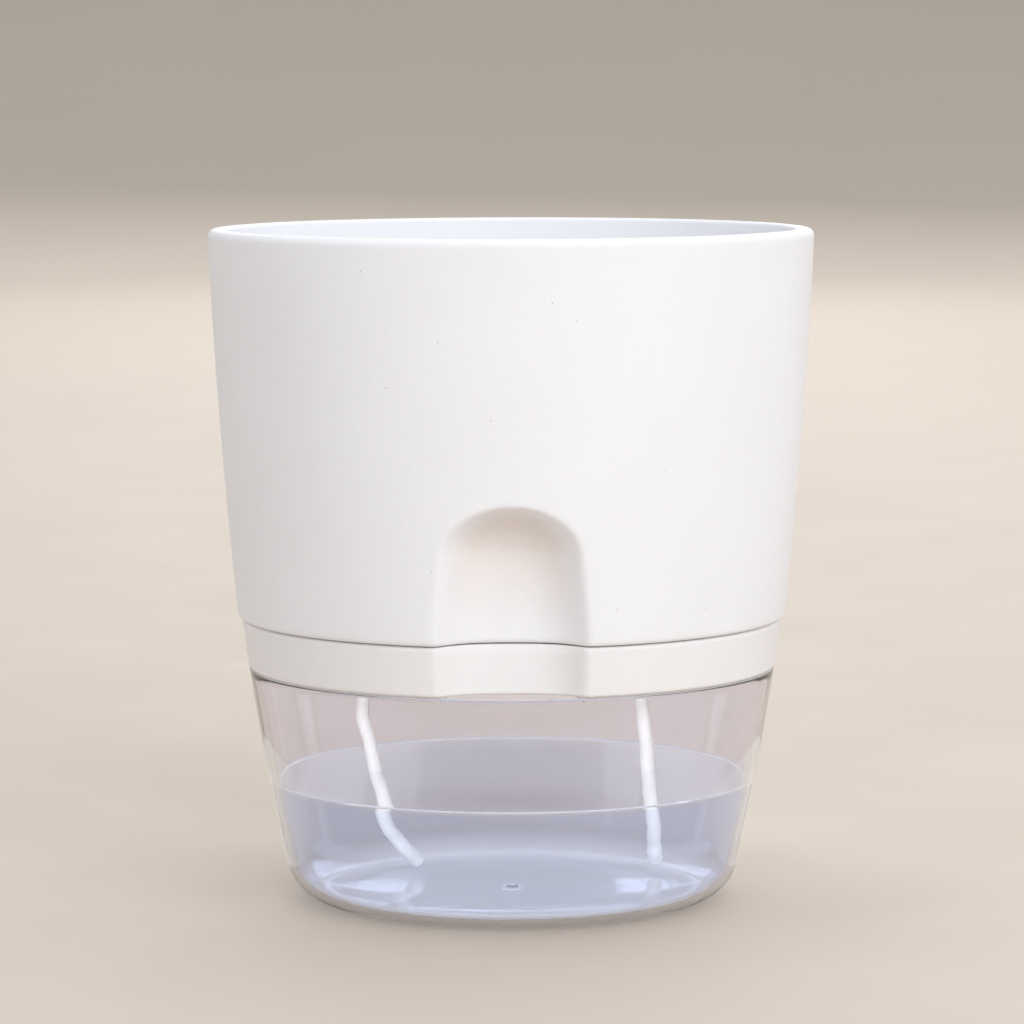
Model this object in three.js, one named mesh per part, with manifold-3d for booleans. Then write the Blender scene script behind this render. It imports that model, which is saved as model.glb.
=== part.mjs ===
// Self watering planter: a tapered pot that stands on a short support collar, which stands on a clear
// water reservoir. Two cotton wicks hang from the pot's floor into the water.
// Millimetres, +Z up, origin at the centre of the reservoir's base, front of the planter facing -Y.
import * as THREE from "three";
import { mergeVertices } from "three/addons/utils/BufferGeometryUtils.js";
import Module from "manifold-3d";

const wasm = await Module();
wasm.setup();

// Driving dimensions
const RIM_RADIUS = 74.5; // outer radius of the pot's rim, a 6 inch planter
const RIM_ROUNDING = 1.8; // on the rim's outer edge
const RIM_CHAMFER = 0.8; // on its inner edge
const TOP_Z = 165.9;
const SEAM_Z = 70.4; // underside of the pot's wall, where it meets the collar
const SEAM_RADIUS = 67.6;
const SEAM_ROUNDING = 1.2; // on the lower edge of the pot's wall
const POT_BULGE = 0.75; // how far the pot's wall stands proud of a straight taper at mid height
const POT_WALL = 3.4; // at the seam, and it thickens to RIM_WIDTH at the top
const RIM_WIDTH = 4.6;

const SPIGOT_RADIUS = 61.5; // the pot's foot, which drops inside the collar
const SPIGOT_WALL = 2.6;
const SPIGOT_DRAFT = 0.9; // how much smaller the foot's radius is at its base
const INNER_ROUNDING = 2; // in the corners inside the pot, and round the base of its foot
const POT_BASE_Z = 60.4;
const POT_FLOOR_Z = 63.4;

const FIT_GAP = 0.3; // clearance between two pieces that rest on each other
const COLLAR_TOP_RADIUS = 66.7;
const COLLAR_BASE_RADIUS = 65.1;
const COLLAR_BASE_Z = 58.1;
const COLLAR_WALL = 2.6;
const COLLAR_ROUNDING = 0.8;
const TONGUE_RADIUS = 61.9; // lip under the collar that locates it in the reservoir's mouth
const TONGUE_WIDTH = 1.3;
const TONGUE_DROP = 1.5;
const LEDGE_HEIGHT = 1.4; // step inside the collar that the tongue hangs from

const RESERVOIR_RADIUS = 65;
const RESERVOIR_WALL = 1.8;
const RESERVOIR_FLOOR = 2.2;
const RESERVOIR_BULGE = 0.35;
const RESERVOIR_RIM_ROUNDING = 0.7;
const BASE_CORNER_RADIUS = 11.4; // big round corner between the reservoir's wall and its base
const BASE_FLAT_RADIUS = 44.8;
const BASE_TAPER = 12.5; // slope of the wall where it leaves that corner, in degrees from upright
const FOOT_RING_RADIUS = 40; // inside it the underside is raised by FOOT_RING_RISE
const FOOT_RING_RISE = 0.6;
const GATE_RADIUS = 1.7; // moulding gate, a low pip in the middle of the reservoir's floor
const GATE_HEIGHT = 0.6;

const NICHE_TOP_Z = 103; // arched recess in the front of the pot and the collar, where water is poured in
const NICHE_SPRING_Z = 91; // where the upright sides turn into the arch
const NICHE_HALF_WIDTH = 15.9; // at the spring line
const NICHE_SPLAY = 0.14; // widening of each side per millimetre downwards, just below the spring line
const NICHE_SPLAY_EASING = 0.0019; // how fast that widening dies out
const NICHE_BACK = 56.6; // distance of the recess's back from the planter's axis, at the spring line
const NICHE_BACK_LEAN = 0.022; // growth of that distance per millimetre downwards

const WICK_DIAMETER = 3.4;
const WICK_HOLE_X = 34.5;
const WICK_HOLE_RADIUS = 2.3;
const SLEEVE_RADIUS = 4.6; // low sleeve round each wick hole, on the pot's floor
const SLEEVE_HEIGHT = 2;
const DRAIN_RINGS = [
  { radius: 0, count: 1, hole: 3 },
  { radius: 20, count: 8, hole: 2.5 },
  { radius: 46, count: 8, hole: 2.5 },
];

const TURN_STEPS = 64; // facets round a turned piece
const OVERRUN = 1; // how far a cutting solid runs past the face that it opens

// Solids

function solidFrom(geometry) {
  const bare = geometry.clone();
  bare.deleteAttribute("normal");
  bare.deleteAttribute("uv");
  const merged = mergeVertices(bare, 1e-4);
  return new wasm.Manifold(
    new wasm.Mesh({
      numProp: 3,
      vertProperties: new Float32Array(merged.attributes.position.array),
      triVerts: new Uint32Array(merged.index.array),
    }),
  );
}

function geometryFrom(solid) {
  const mesh = solid.getMesh();
  const geometry = new THREE.BufferGeometry();
  geometry.setAttribute("position", new THREE.BufferAttribute(mesh.vertProperties, 3));
  geometry.setIndex(new THREE.BufferAttribute(mesh.triVerts, 1));
  geometry.computeVertexNormals();
  return geometry;
}

// Outline from corners [radius, z, fillet]: each corner with a fillet becomes an arc tangent to both sides.
function outline(corners, arcSteps = 3) {
  const points = [];
  corners.forEach(([r, z, fillet = 0], i) => {
    const corner = new THREE.Vector2(r, z);
    if (!fillet) {
      points.push(corner);
      return;
    }
    const before = new THREE.Vector2(...corners[i - 1]).sub(corner).normalize();
    const after = new THREE.Vector2(...corners[i + 1]).sub(corner).normalize();
    const half = Math.acos(THREE.MathUtils.clamp(before.dot(after), -1, 1)) / 2;
    const middle = before.clone().add(after).normalize();
    const centre = corner.clone().addScaledVector(middle, fillet / Math.sin(half));
    const reach = fillet / Math.tan(half);
    const start = corner.clone().addScaledVector(before, reach).sub(centre);
    const end = corner.clone().addScaledVector(after, reach).sub(centre);
    const sweep = Math.atan2(start.cross(end), start.dot(end));
    for (let k = 0; k <= arcSteps; k++) {
      const turned = start.clone().rotateAround(new THREE.Vector2(), (sweep * k) / arcSteps);
      points.push(turned.add(centre));
    }
  });
  return points;
}

// Corners along a tapered wall that swells outwards by bulge half way up.
function swollenWall([r0, z0], [r1, z1], bulge, steps = 4) {
  const corners = [];
  for (let k = 1; k < steps; k++) {
    const t = k / steps;
    const swell = 4 * bulge * t * (1 - t);
    corners.push([THREE.MathUtils.lerp(r0, r1, t) + swell, THREE.MathUtils.lerp(z0, z1, t)]);
  }
  return corners;
}

function turned(points) {
  const lathe = new THREE.LatheGeometry(points, TURN_STEPS);
  lathe.rotateX(Math.PI / 2);
  return solidFrom(lathe);
}

function turnedRing(inner, outer, low, high) {
  const loop = [[inner, low], [outer, low], [outer, high], [inner, high], [inner, low]];
  return turned(loop.map(([r, z]) => new THREE.Vector2(r, z)));
}

function roundPin(radius, x, y, low, high, sides = 10) {
  const pin = new THREE.CylinderGeometry(radius, radius, high - low, sides);
  pin.rotateX(Math.PI / 2);
  pin.translate(x, y, (low + high) / 2);
  return solidFrom(pin);
}

// Niche

function potOuterRadius(z) {
  const t = (z - SEAM_Z) / (TOP_Z - SEAM_Z);
  return THREE.MathUtils.lerp(SEAM_RADIUS, RIM_RADIUS, t) + 4 * POT_BULGE * t * (1 - t);
}

// Level sections of the recess, grown by a wall thickness. Each is a flat-backed hollow open to the front.
function nicheSection(z, grow, scale) {
  const drop = Math.max(0, NICHE_SPRING_Z - z);
  const splay = NICHE_SPLAY * drop - NICHE_SPLAY_EASING * drop ** 2;
  const halfWidth = (NICHE_HALF_WIDTH + splay + grow) * scale;
  const face = Math.sqrt(potOuterRadius(z) ** 2 - halfWidth ** 2);
  const straightBack = NICHE_BACK + NICHE_BACK_LEAN * (NICHE_SPRING_Z - z) - grow;
  const back = THREE.MathUtils.lerp(potOuterRadius(z), straightBack, scale);
  const steps = 8;
  const reach = 1.25; // the sides run on past the pot's face
  const section = [];
  for (let k = steps; k >= -steps; k--) {
    const t = (reach * k) / steps;
    const y = back + (face - back) * Math.abs(t) ** 3;
    section.push(new THREE.Vector3(halfWidth * t, -y, z));
  }
  const front = RIM_RADIUS + 20;
  section.push(new THREE.Vector3(-halfWidth * reach, -front, z));
  section.push(new THREE.Vector3(halfWidth * reach, -front, z));
  return section;
}

function niche(grow, lowZ) {
  const sections = [];
  const sideSteps = 3;
  for (let k = 0; k < sideSteps; k++) {
    sections.push(nicheSection(THREE.MathUtils.lerp(lowZ, NICHE_SPRING_Z, k / sideSteps), grow, 1));
  }
  const archHeight = NICHE_TOP_Z - NICHE_SPRING_Z + grow;
  const archSteps = 7;
  for (let k = 0; k <= archSteps; k++) {
    const angle = ((Math.PI / 2) * k) / (archSteps + 0.25); // stops just short of the pointed crown
    const z = NICHE_SPRING_Z + archHeight * Math.sin(angle);
    sections.push(nicheSection(z, grow, Math.cos(angle)));
  }
  return loft(sections);
}

// Closed solid through level sections, each anticlockwise from above and with the same number of points.
function loft(sections) {
  const count = sections[0].length;
  const positions = sections.flat().flatMap((p) => p.toArray());
  const index = [];
  const at = (row, k) => row * count + (k % count);
  for (let row = 0; row + 1 < sections.length; row++) {
    for (let k = 0; k < count; k++) {
      index.push(at(row, k), at(row, k + 1), at(row + 1, k + 1));
      index.push(at(row, k), at(row + 1, k + 1), at(row + 1, k));
    }
  }
  const cap = (row) => {
    const contour = sections[row].map((p) => new THREE.Vector2(p.x, p.y));
    return THREE.ShapeUtils.triangulateShape(contour, []).map((face) => face.map((k) => at(row, k)));
  };
  cap(0).forEach(([a, b, c]) => index.push(a, c, b));
  cap(sections.length - 1).forEach(([a, b, c]) => index.push(a, b, c));
  const geometry = new THREE.BufferGeometry();
  geometry.setAttribute("position", new THREE.Float32BufferAttribute(positions, 3));
  geometry.setIndex(index);
  return solidFrom(geometry);
}

// Pot

function potShell() {
  const outside = turned(
    outline([
      [0, SEAM_Z],
      [SEAM_RADIUS, SEAM_Z, SEAM_ROUNDING],
      ...swollenWall([SEAM_RADIUS, SEAM_Z], [RIM_RADIUS, TOP_Z], POT_BULGE, 6),
      [RIM_RADIUS, TOP_Z, RIM_ROUNDING],
      [0, TOP_Z],
    ]),
  );
  return outside.subtract(niche(0, SEAM_Z - OVERRUN));
}

// The foot stays clear of the back of the collar's recess.
const SPIGOT_NICHE_GROW = COLLAR_WALL + 0.4;

function potSpigot() {
  const outside = turned(
    outline([
      [0, POT_BASE_Z],
      [SPIGOT_RADIUS - SPIGOT_DRAFT, POT_BASE_Z, INNER_ROUNDING],
      [SPIGOT_RADIUS, SEAM_Z + OVERRUN],
      [0, SEAM_Z + OVERRUN],
    ]),
  );
  return outside.subtract(niche(SPIGOT_NICHE_GROW, POT_BASE_Z - OVERRUN));
}

function potCavity() {
  const shoulderZ = SEAM_Z + POT_WALL;
  const above = turned(
    outline([
      [0, shoulderZ],
      [SEAM_RADIUS - POT_WALL, shoulderZ, INNER_ROUNDING],
      [RIM_RADIUS - RIM_WIDTH, TOP_Z - RIM_CHAMFER],
      [RIM_RADIUS - RIM_WIDTH + RIM_CHAMFER, TOP_Z],
      [RIM_RADIUS - RIM_WIDTH + RIM_CHAMFER, TOP_Z + OVERRUN],
      [0, TOP_Z + OVERRUN],
    ]),
  ).subtract(niche(POT_WALL, shoulderZ - OVERRUN));
  const footRadius = SPIGOT_RADIUS - SPIGOT_WALL;
  const below = turned(
    outline([
      [0, POT_FLOOR_Z],
      [footRadius - SPIGOT_DRAFT, POT_FLOOR_Z, INNER_ROUNDING],
      [footRadius, shoulderZ + OVERRUN],
      [0, shoulderZ + OVERRUN],
    ]),
  ).subtract(niche(SPIGOT_NICHE_GROW + SPIGOT_WALL, POT_FLOOR_Z - OVERRUN));
  return above.add(below);
}

function plantingPot() {
  let pot = potShell().add(potSpigot()).subtract(potCavity());
  for (const side of [-1, 1]) {
    const x = side * WICK_HOLE_X;
    const top = POT_FLOOR_Z + SLEEVE_HEIGHT;
    pot = pot.add(roundPin(SLEEVE_RADIUS, x, 0, POT_BASE_Z + OVERRUN, top, 20));
    pot = pot.subtract(roundPin(WICK_HOLE_RADIUS, x, 0, POT_BASE_Z - OVERRUN, top + OVERRUN, 16));
  }
  for (const { radius, count, hole } of DRAIN_RINGS) {
    for (let k = 0; k < count; k++) {
      const angle = (2 * Math.PI * (k + 0.5)) / count;
      const [x, y] = [radius * Math.cos(angle), radius * Math.sin(angle)];
      pot = pot.subtract(roundPin(hole, x, y, POT_BASE_Z - OVERRUN, POT_FLOOR_Z + OVERRUN));
    }
  }
  return pot;
}

// Collar

const COLLAR_TOP_Z = SEAM_Z - FIT_GAP;

function supportCollar() {
  const outside = turned(
    outline([
      [0, COLLAR_BASE_Z],
      [COLLAR_BASE_RADIUS, COLLAR_BASE_Z, COLLAR_ROUNDING],
      [COLLAR_TOP_RADIUS, COLLAR_TOP_Z, COLLAR_ROUNDING],
      [0, COLLAR_TOP_Z],
    ]),
  );
  const inside = turned(
    outline([
      [0, COLLAR_BASE_Z - OVERRUN],
      [COLLAR_BASE_RADIUS - COLLAR_WALL, COLLAR_BASE_Z - OVERRUN],
      [COLLAR_TOP_RADIUS - COLLAR_WALL, COLLAR_TOP_Z + OVERRUN],
      [0, COLLAR_TOP_Z + OVERRUN],
    ]),
  ).subtract(niche(COLLAR_WALL, COLLAR_BASE_Z - OVERRUN));
  const tongueInside = TONGUE_RADIUS - TONGUE_WIDTH;
  const ledgeTop = COLLAR_BASE_Z + LEDGE_HEIGHT;
  const tongue = turnedRing(tongueInside, TONGUE_RADIUS, COLLAR_BASE_Z - TONGUE_DROP, ledgeTop);
  const ledge = turnedRing(tongueInside, COLLAR_BASE_RADIUS - COLLAR_WALL + 1, COLLAR_BASE_Z, ledgeTop);
  const lip = tongue.add(ledge);
  return outside.subtract(inside).add(lip).subtract(niche(0, COLLAR_BASE_Z - 2 * TONGUE_DROP));
}

// Reservoir

function clearReservoir() {
  const rimZ = COLLAR_BASE_Z - FIT_GAP;
  const taper = THREE.MathUtils.degToRad(BASE_TAPER);
  // Outline of the bowl with its wall moved in by an inset, from the flat base up to the rim.
  const bowl = (inset, cornerSteps) => {
    const radius = BASE_CORNER_RADIUS - inset;
    const points = [];
    for (let k = 0; k <= cornerSteps; k++) {
      const angle = -Math.PI / 2 + ((Math.PI / 2 - taper) * k) / cornerSteps;
      const r = BASE_FLAT_RADIUS + radius * Math.cos(angle);
      points.push([r, BASE_CORNER_RADIUS + radius * Math.sin(angle)]);
    }
    const rim = [RESERVOIR_RADIUS - inset, rimZ];
    return [...points, ...swollenWall(points.at(-1), rim, RESERVOIR_BULGE), rim];
  };
  const outer = bowl(0, 5);
  outer.at(-1).push(RESERVOIR_RIM_ROUNDING);
  const inner = bowl(RESERVOIR_WALL, 4).reverse();
  inner[0].push(RESERVOIR_RIM_ROUNDING);
  const floor = inner.pop(); // that arc ends lower than the floor's top, so the floor cuts it off there
  const corners = [
    [0, FOOT_RING_RISE],
    [FOOT_RING_RADIUS - 2 * FOOT_RING_RISE, FOOT_RING_RISE],
    [FOOT_RING_RADIUS, 0],
    ...outer,
    ...inner,
    [floor[0], RESERVOIR_FLOOR],
    [GATE_RADIUS, RESERVOIR_FLOOR],
    [GATE_RADIUS - GATE_HEIGHT, RESERVOIR_FLOOR + GATE_HEIGHT],
    [0, RESERVOIR_FLOOR + GATE_HEIGHT],
  ];
  return turned(outline(corners));
}

// Wicks

// Each wick hangs from its hole to just above the reservoir's floor. Its upper end stands out of the sleeve,
// bends over and lies on the pot's floor, where soil would bury it.
const LEFT_WICK = [
  [-23.4, 20, 4.6], [-26.3, 16, 8.3], [-28.8, 13, 11.7], [-31.2, 10, 15.9], [-33, 5.8, 24],
  [-34.9, 2.5, 34.3], [-36.4, 0.9, 41.5], [-37.2, 0, 47.5], [-36.6, 0, 52.5], [-34.9, 0, 57.5],
  [-34.5, 0, 61], [-34.5, 0, 65], [-34.7, 1.2, 69], [-35.2, 4, 71.9], [-36, 8, 72.6],
  [-36.8, 12.5, 70.2], [-37.2, 17, 67], [-36.6, 22, 65.6], [-34.6, 28, 65.5], [-30.5, 34, 65.5],
];
const RIGHT_WICK = [
  [35.9, 21.5, 4.6], [35.7, 17, 9.6], [35.3, 13, 14.8], [34.7, 9, 21.6], [34, 5.2, 29],
  [33.4, 2, 38], [32.6, 0.6, 46], [32.7, 0, 52.5], [34.2, 0, 57.5],
  [34.5, 0, 61], [34.5, 0, 65], [34.8, -1.2, 69], [35.6, -4, 71.9], [36.8, -8, 72.6],
  [37.6, -12.5, 70.2], [37.4, -17, 67], [35.8, -21.8, 65.6], [32.2, -27, 65.5], [27, -31.2, 65.5],
];

function wick(route) {
  const points = route.map((point) => new THREE.Vector3(...point));
  const path = new THREE.CatmullRomCurve3(points, false, "centripetal");
  const section = new THREE.Shape();
  const sides = 8;
  for (let k = 0; k < sides; k++) {
    const angle = (2 * Math.PI * k) / sides;
    const [x, y] = [(WICK_DIAMETER / 2) * Math.cos(angle), (WICK_DIAMETER / 2) * Math.sin(angle)];
    if (k === 0) section.moveTo(x, y);
    else section.lineTo(x, y);
  }
  const steps = Math.round(path.getLength() / (2 * WICK_DIAMETER));
  return solidFrom(new THREE.ExtrudeGeometry(section, { steps, bevelEnabled: false, extrudePath: path }));
}

// Assembly

const potPlastic = { color: 0xece7df, roughness: 0.55, metalness: 0 };
const collarPlastic = { color: 0xe9e2d8, roughness: 0.5, metalness: 0 };
const clearPlastic = { color: 0xdfe4ee, roughness: 0.05, metalness: 0, transparent: true, opacity: 0.3 };
const cotton = { color: 0xf6f4ef, roughness: 0.95, metalness: 0 };

function piece(name, solid, finish) {
  const mesh = new THREE.Mesh(geometryFrom(solid), new THREE.MeshStandardMaterial(finish));
  mesh.name = name;
  return mesh;
}

const planter = new THREE.Group();
planter.add(
  piece("water_reservoir", clearReservoir(), clearPlastic),
  piece("support_collar", supportCollar(), collarPlastic),
  piece("planting_pot", plantingPot(), potPlastic),
  piece("wick_left", wick(LEFT_WICK), cotton),
  piece("wick_right", wick(RIGHT_WICK), cotton),
);

export default planter;
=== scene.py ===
import math

import bmesh
import bpy
import numpy as np
from mathutils import Matrix, Vector


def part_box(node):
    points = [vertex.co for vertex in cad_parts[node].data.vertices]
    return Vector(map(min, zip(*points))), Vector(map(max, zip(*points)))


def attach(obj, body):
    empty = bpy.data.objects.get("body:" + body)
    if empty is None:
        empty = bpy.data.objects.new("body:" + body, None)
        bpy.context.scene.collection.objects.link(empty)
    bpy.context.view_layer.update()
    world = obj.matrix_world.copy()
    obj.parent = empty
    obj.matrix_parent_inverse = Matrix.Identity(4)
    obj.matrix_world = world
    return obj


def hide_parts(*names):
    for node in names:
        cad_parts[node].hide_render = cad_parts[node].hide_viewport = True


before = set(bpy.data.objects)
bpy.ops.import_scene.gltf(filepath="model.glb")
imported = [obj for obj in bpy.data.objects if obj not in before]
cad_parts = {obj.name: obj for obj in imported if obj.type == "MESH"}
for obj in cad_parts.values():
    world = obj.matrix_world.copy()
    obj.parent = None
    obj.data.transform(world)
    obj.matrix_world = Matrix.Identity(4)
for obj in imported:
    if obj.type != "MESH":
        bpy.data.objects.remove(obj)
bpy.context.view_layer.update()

# Self watering planter. Sizes are in millimetres, as in the CAD part, and become metres where a mesh is made.
MM = 0.001
TOP_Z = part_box("planting_pot")[1].z / MM
COLLAR_TOP_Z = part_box("support_collar")[1].z / MM
RESERVOIR_RIM_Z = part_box("water_reservoir")[1].z / MM
RIM_RADIUS = 74.5
SEAM_Z = COLLAR_TOP_Z + 0.3
SEAM_RADIUS = 67.6
POT_BULGE = 0.75
POT_WALL = 3.4
RIM_WIDTH = 4.6
SPIGOT_RADIUS = 61.5
SPIGOT_WALL = 2.6
POT_BASE_Z = 60.4
POT_FLOOR_Z = 63.4
COLLAR_TOP_RADIUS = 66.7
COLLAR_BASE_RADIUS = 65.1
COLLAR_BASE_Z = RESERVOIR_RIM_Z + 0.3
COLLAR_WALL = 2.6
TONGUE_RADIUS = 61.9
TONGUE_WIDTH = 1.3
TONGUE_DROP = 1.5
RESERVOIR_RADIUS = 65
RESERVOIR_WALL = 1.8
RESERVOIR_FLOOR = 2.2
RESERVOIR_BULGE = 0.35
BASE_CORNER_RADIUS = 11.4
BASE_FLAT_RADIUS = 44.8
BASE_TAPER = math.radians(12.5)
FOOT_RING_RADIUS = 40
FOOT_RING_RISE = 0.6
GATE_RADIUS = 1.7
NICHE_TOP_Z = 103
NICHE_SPRING_Z = 91
NICHE_HALF_WIDTH = 15.9
NICHE_SPLAY = 0.14
NICHE_SPLAY_EASING = 0.0019
NICHE_BACK = 56.6
NICHE_BACK_LEAN = 0.022
NICHE_SPAN = math.radians(22)  # half of the stretch of the outline, seen from the axis, that holds the niche
SPIGOT_NICHE_GROW = COLLAR_WALL + 0.4
WICK_DIAMETER = 3.4
WICK_HOLE_X = 34.5
WICK_HOLE_RADIUS = 2.1
SLEEVE_RADIUS = 4.6
SLEEVE_HEIGHT = 2
DRAIN_RINGS = [(0, 1, 3), (20, 8, 2.5), (46, 8, 2.5)]  # ring radius, holes in it, hole radius
SLEEVE_SIDES = 48
WATER_Z = 30
WATER_GAP = 0.06  # between the water and the plastic, so that their faces stay apart
WALL_CLIMB = 0.5  # how far the water climbs up the wall, and up the wicks
WICK_CLIMB = 0.4
HEEL_Z = 5
TURN_STEPS = 288
GUARD_WIDTH = 0.4  # a ring this close to each edge of a flat keeps the flat from shading like a curve
SHARP_ANGLE = math.radians(40)
PLASTIC_IOR = 1.49
WATER_IOR = 1.01  # far below real water's: the wicks have to run on across the waterline without a jump

# The camera's lens and sensor are in millimetres, its place in metres, its angles in radians
CAMERA_LENS = 159.35
CAMERA_SENSOR = 36
CAMERA_PLACE = (0.00013, -1.1157, 0.2075)
CAMERA_DIP = 0.0999  # below level
CAMERA_ROLL = -0.0023


# Camera: a long lens in front of the planter, a little above the rim

def add_camera():
    camera = bpy.data.objects.new("camera", bpy.data.cameras.new("camera"))
    camera.data.lens = CAMERA_LENS
    camera.data.sensor_width = CAMERA_SENSOR
    camera.data.clip_end = 100
    camera.location = CAMERA_PLACE
    tilt = Matrix.Rotation(math.pi / 2 - CAMERA_DIP, 3, "X")
    roll = Matrix.Rotation(CAMERA_ROLL, 3, "Z")
    camera.rotation_euler = (tilt @ roll).to_euler()
    bpy.context.scene.collection.objects.link(camera)
    bpy.context.scene.camera = camera


# Mesh helpers

def link(name, mesh):
    made = bpy.data.objects.new(name, mesh)
    bpy.context.scene.collection.objects.link(made)
    return made


def mesh_object(name, points, faces, smooth=True):
    mesh = bpy.data.meshes.new(name)
    mesh.from_pydata([tuple(p) for p in np.asarray(points) * MM], [], faces)
    if smooth:
        shell = bmesh.new()
        shell.from_mesh(mesh)
        bmesh.ops.recalc_face_normals(shell, faces=shell.faces)
        shell.to_mesh(mesh)
        shell.free()
        mesh.shade_smooth()
    return link(name, mesh)


def grid_faces(rows, columns, close_rows):
    """Quads between neighbouring rings of a grid whose columns close on themselves."""
    faces = []
    for i in range(rows if close_rows else rows - 1):
        j = (i + 1) % rows
        for k in range(columns):
            n = (k + 1) % columns
            faces.append((i * columns + k, i * columns + n, j * columns + n, j * columns + k))
    return faces


def turned_object(name, rings, on_axis):
    """rings is an array of rows, columns and xyz, going round the outline. Rows at the two ends are fanned
    to the axis where on_axis is true, and joined to each other where it isn't."""
    rows, columns = rings.shape[:2]
    points = rings.reshape(-1, 3).tolist()
    faces = grid_faces(rows, columns, not on_axis)
    if on_axis:
        for row in (0, rows - 1):
            centre = len(points)
            points.append([0, 0, float(rings[row, :, 2].mean())])
            for k in range(columns):
                a, b = row * columns + k, row * columns + (k + 1) % columns
                faces.append((b, a, centre) if row == 0 else (a, b, centre))
    return mesh_object(name, points, faces)


def boolean(target, cutter, operation):
    modifier = target.modifiers.new("cut", "BOOLEAN")
    modifier.object = cutter
    modifier.operation = operation
    modifier.solver = "EXACT"
    graph = bpy.context.evaluated_depsgraph_get()
    mesh = bpy.data.meshes.new_from_object(target.evaluated_get(graph))
    target.modifiers.clear()
    target.data = mesh
    bpy.data.objects.remove(cutter)


def pins(name, places, sides=32):
    """Upright round pins in one mesh: each place is x, y, radius, low z, high z."""
    mesh = bmesh.new()
    for x, y, radius, low, high in places:
        made = bmesh.ops.create_cone(
            mesh, cap_ends=True, segments=sides, radius1=radius, radius2=radius, depth=high - low
        )
        bmesh.ops.translate(mesh, verts=made["verts"], vec=(x, y, (low + high) / 2))
    bmesh.ops.scale(mesh, vec=(MM, MM, MM), verts=mesh.verts)
    data = bpy.data.meshes.new(name)
    mesh.to_mesh(data)
    mesh.free()
    return link(name, data)


# Outlines. A row is radius, z, base radius, niche growth: where the niche is nearer to the axis than the base
# radius, the row moves in with it and keeps its distance to the base.

def outline(corners, arc_steps=6):
    """corners are radius, z, fillet, niche growth. Each corner with a fillet becomes an arc."""
    rows = []
    for i, (r, z, fillet, grow) in enumerate(corners):
        if not fillet:
            rows.append((r, z, r, grow))
            continue
        here = Vector((r, z))
        before = (Vector(corners[i - 1][:2]) - here).normalized()
        after = (Vector(corners[(i + 1) % len(corners)][:2]) - here).normalized()
        half = before.angle(after) / 2
        centre = here + (before + after).normalized() * (fillet / math.sin(half))
        reach = fillet / math.tan(half)
        start, end = here + before * reach - centre, here + after * reach - centre
        sweep = math.atan2(start.x * end.y - start.y * end.x, start.dot(end))
        for k in range(arc_steps + 1):
            angle = sweep * k / arc_steps
            x = start.x * math.cos(angle) - start.y * math.sin(angle) + centre.x
            y = start.x * math.sin(angle) + start.y * math.cos(angle) + centre.y
            rows.append((x, y, r, grow))
    return rows


def straight(low, high, step, bulge=0.0):
    """Corners between two radius, z points, every step in z, that swell by bulge half way."""
    count = max(2, round(abs(high[1] - low[1]) / step))
    corners = []
    for k in range(1, count):
        t = k / count
        swell = 4 * bulge * t * (1 - t)
        corners.append((low[0] + (high[0] - low[0]) * t + swell, low[1] + (high[1] - low[1]) * t))
    return corners


def pot_radius(z):
    t = (z - SEAM_Z) / (TOP_Z - SEAM_Z)
    return SEAM_RADIUS + (RIM_RADIUS - SEAM_RADIUS) * t + 4 * POT_BULGE * t * (1 - t)


def niche_reach(angles, z, grow):
    """Distance from the axis to the recess, grown by grow, in each direction from the front, at height z."""
    above = max(0.0, z - NICHE_SPRING_Z) / (NICHE_TOP_Z - NICHE_SPRING_Z + grow)
    if above >= 1:
        return np.full(len(angles), 1e3)
    scale = math.sqrt(1 - above**2)
    drop = max(0.0, NICHE_SPRING_Z - z)
    splay = NICHE_SPLAY * drop - NICHE_SPLAY_EASING * drop**2
    half_width = (NICHE_HALF_WIDTH + splay + grow) * scale
    outer = pot_radius(z)
    face = math.sqrt(outer**2 - half_width**2)
    back = outer + (NICHE_BACK + NICHE_BACK_LEAN * (NICHE_SPRING_Z - z) - grow - outer) * scale
    t = np.linspace(0, 1.35, 80)
    x, y = half_width * t, back + (face - back) * t**3
    return np.interp(np.abs(angles), np.arctan2(x, y), np.hypot(x, y), right=1e3)


def ring_angles(fine_step=0.38, coarse_step=math.radians(2)):
    """Angles from the front, closely spaced across the niche. The fine step is along the seam."""
    count = 2 * round(NICHE_SPAN * SEAM_RADIUS / fine_step)
    near = np.linspace(-NICHE_SPAN, NICHE_SPAN, count + 1)
    rest = 2 * (math.pi - NICHE_SPAN)
    far = np.linspace(NICHE_SPAN, NICHE_SPAN + rest, round(rest / coarse_step) + 1)[1:-1]
    return np.concatenate([near, far])


def from_front(angles):
    """The same angles, between minus half a turn and half a turn."""
    return (angles + math.pi) % (2 * math.pi) - math.pi


def niche_rings(rows, angles):
    rings = np.zeros((len(rows), len(angles), 3))
    for i, (r, z, base, grow) in enumerate(rows):
        radius = np.minimum(base, niche_reach(from_front(angles), z, grow)) - (base - r)
        rings[i] = np.stack([radius * np.sin(angles), -radius * np.cos(angles), np.full(len(angles), z)], 1)
    return rings


def soften(rings, angles, rows, across_only, rounds=14):
    """Rounds the niche's edges: moves each point of those rows towards the middle of its neighbours, or only of
    its neighbours in the same row where the row is in across_only."""
    fade = math.radians(1.5)
    near = np.clip((NICHE_SPAN - fade / 3 - np.abs(from_front(angles))) / fade, 0, 1)[None, :, None]
    low, high = rows
    for _ in range(rounds):
        band = rings[low:high]
        side = (np.roll(band, 1, 1) + np.roll(band, -1, 1)) / 2 - band
        up = np.zeros_like(band)
        up[1:-1] = (band[2:] + band[:-2]) / 2 - band[1:-1]
        for k in across_only:
            up[k - low] = 0
        rings[low:high] = band + 0.5 * near * (side + up) / 1.5
    return rings


# Pieces

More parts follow.
